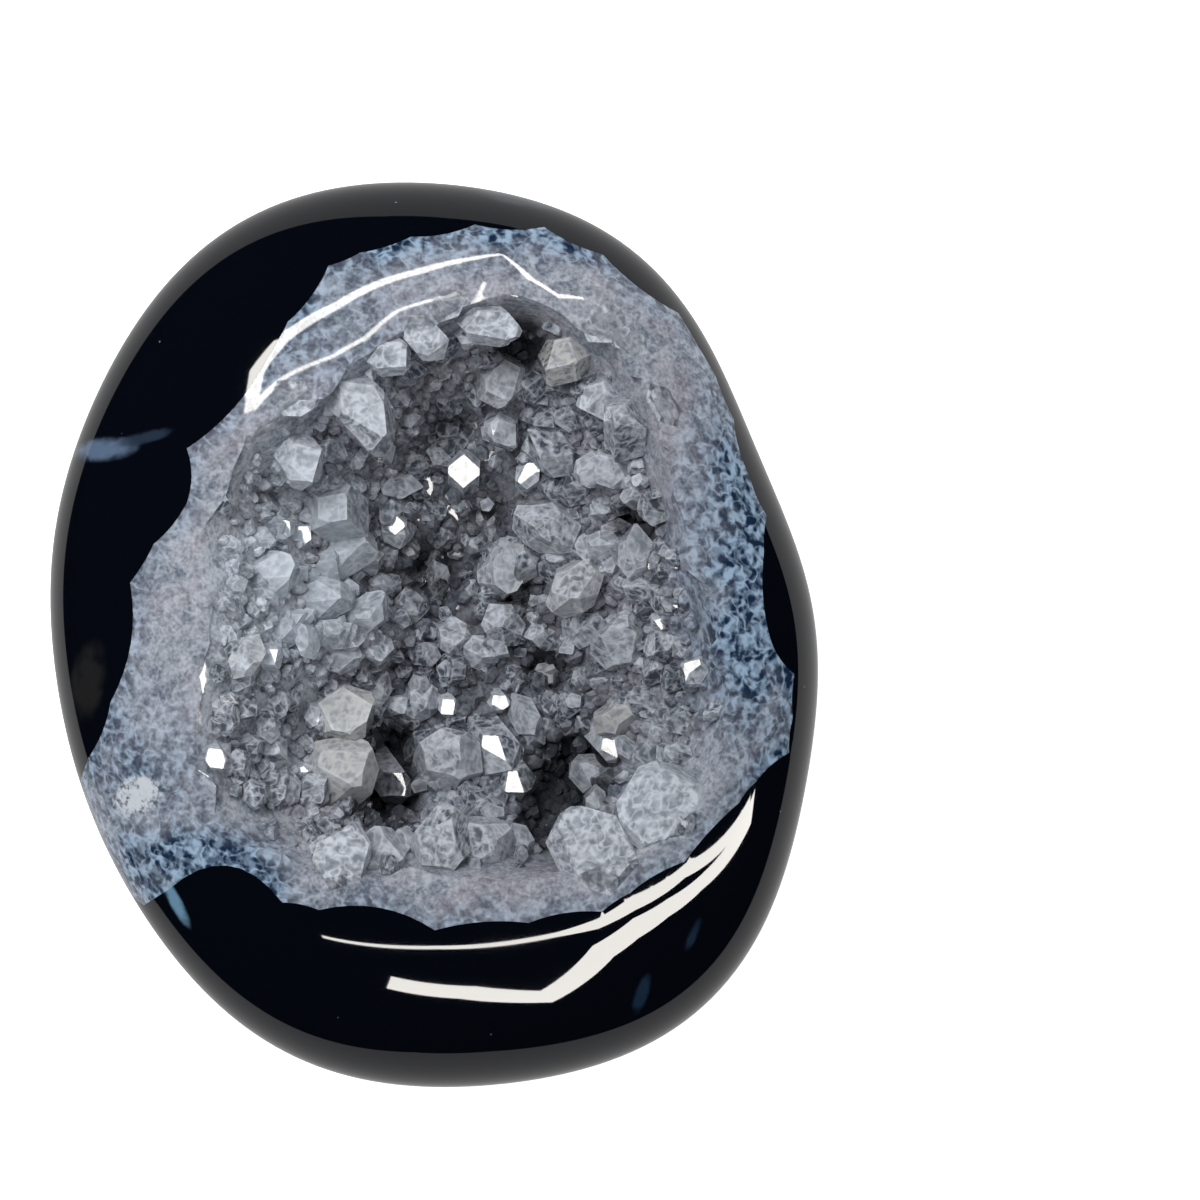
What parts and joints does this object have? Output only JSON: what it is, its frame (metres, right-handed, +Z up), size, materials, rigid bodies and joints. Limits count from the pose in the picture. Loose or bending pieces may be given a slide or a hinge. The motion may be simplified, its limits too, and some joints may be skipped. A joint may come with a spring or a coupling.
{
  "type": "druzy agate pocket stone",
  "caption": "Polished black agate pebble with a flat belly, opened on top onto a hollow lined with grey quartz crystal points.",
  "frame": {"origin": "on the worn flat belly, under the middle of the stone's outline seen from above", "axes": "+Z up, out of the druzy hollow; +Y along the stone's length, towards the end where the hollow reaches the rim; +X to the right seen from above"},
  "size_m": [0.0423, 0.0499, 0.0189],
  "materials": {
    "black_agate": "polished",
    "grey_quartz": "crystal faces, polished at the rim"
  },
  "bodies": {
    "root": {"agate_shell": "black_agate", "quartz_crust": "grey_quartz"}
  },
  "joints": []
}
